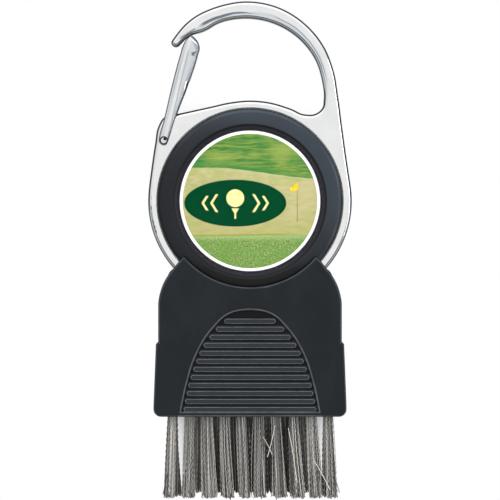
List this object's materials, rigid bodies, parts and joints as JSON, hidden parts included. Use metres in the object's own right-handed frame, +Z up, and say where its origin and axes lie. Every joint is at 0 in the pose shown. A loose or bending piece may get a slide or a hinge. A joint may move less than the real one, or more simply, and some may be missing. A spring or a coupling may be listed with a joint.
{
  "type": "club groove brush",
  "caption": "Carabiner with a gate and a ringed cord reel under a domed disc; a wire-bristle brush head docks below the ring and pulls out on the cord.",
  "frame": {"origin": "on the reel's axis, on the flat back of the reel, which is the plane the object lies on", "axes": "+Z up towards the carabiner's hook, -Y the front with the label, +Y out of the flat back, +X to the right seen from the front"},
  "size_m": [0.0458, 0.0116, 0.1116],
  "materials": {
    "chromed_casting": "polished chrome plating",
    "pin_steel": "satin",
    "spring_steel": "blued",
    "screw_steel": "zinc plated",
    "case_plastic": "satin moulded",
    "spool_plastic": "natural moulded",
    "cord_braid": "braided nylon",
    "ferrule_brass": "crimped",
    "label_print": "printed",
    "dome_clear": "clear poured resin",
    "head_plastic": "fine texture",
    "block_plastic": "moulded",
    "bristle_wire": "drawn wire"
  },
  "bodies": {
    "carabiner": {"carabiner_frame": "chromed_casting", "gate_pin": "pin_steel", "gate_spring": "spring_steel", "reel_front_case": "case_plastic", "reel_rear_case": "case_plastic", "case_screw": "screw_steel", "cord_lead": "cord_braid", "cord_eyelet": "pin_steel", "label_disc": "label_print", "dome_lens": "dome_clear"},
    "gate": {"gate": "chromed_casting"},
    "spool": {"spool": "spool_plastic", "spiral_spring": "spring_steel", "cord_coil": "cord_braid"},
    "brush_head": {"brush_front_shell": "head_plastic", "brush_rear_shell": "head_plastic", "shell_screws": "screw_steel", "bristle_block": "block_plastic", "brush_tufts_front": "bristle_wire", "brush_tufts_rear": "bristle_wire", "brush_tufts_middle": "bristle_wire", "tuft_anchors": "pin_steel", "cord_run": "cord_braid", "cord_ferrule": "ferrule_brass"}
  },
  "joints": [
    {"name": "gate_hinge", "type": "hinge", "parent": "carabiner", "child": "gate", "pos_m": [-0.01939, -0.0057, 0.01361], "axis": [0, 1, 0], "range_deg": [0, 28], "stiffness_Nm_per_rad": 0.05, "springref_deg": -57.3, "deforming": ["gate_spring"]},
    {"name": "brush_pull", "type": "slide", "parent": "carabiner", "child": "brush_head", "axis": [0, 0, -1], "range_m": [0, 0.6], "stiffness_N_per_m": 1.5, "springref_m": -0.6, "deforming": ["cord_run"]},
    {"name": "spool_spin", "type": "hinge", "parent": "carabiner", "child": "spool", "pos_m": [0, -0.0057, 0], "axis": [0, 1, 0], "range_deg": [0, 2970], "deforming": ["spiral_spring"]}
  ],
  "couplings": [
    {"joint": "spool_spin", "follows": "brush_pull", "rad_per_m": 86.2}
  ]
}
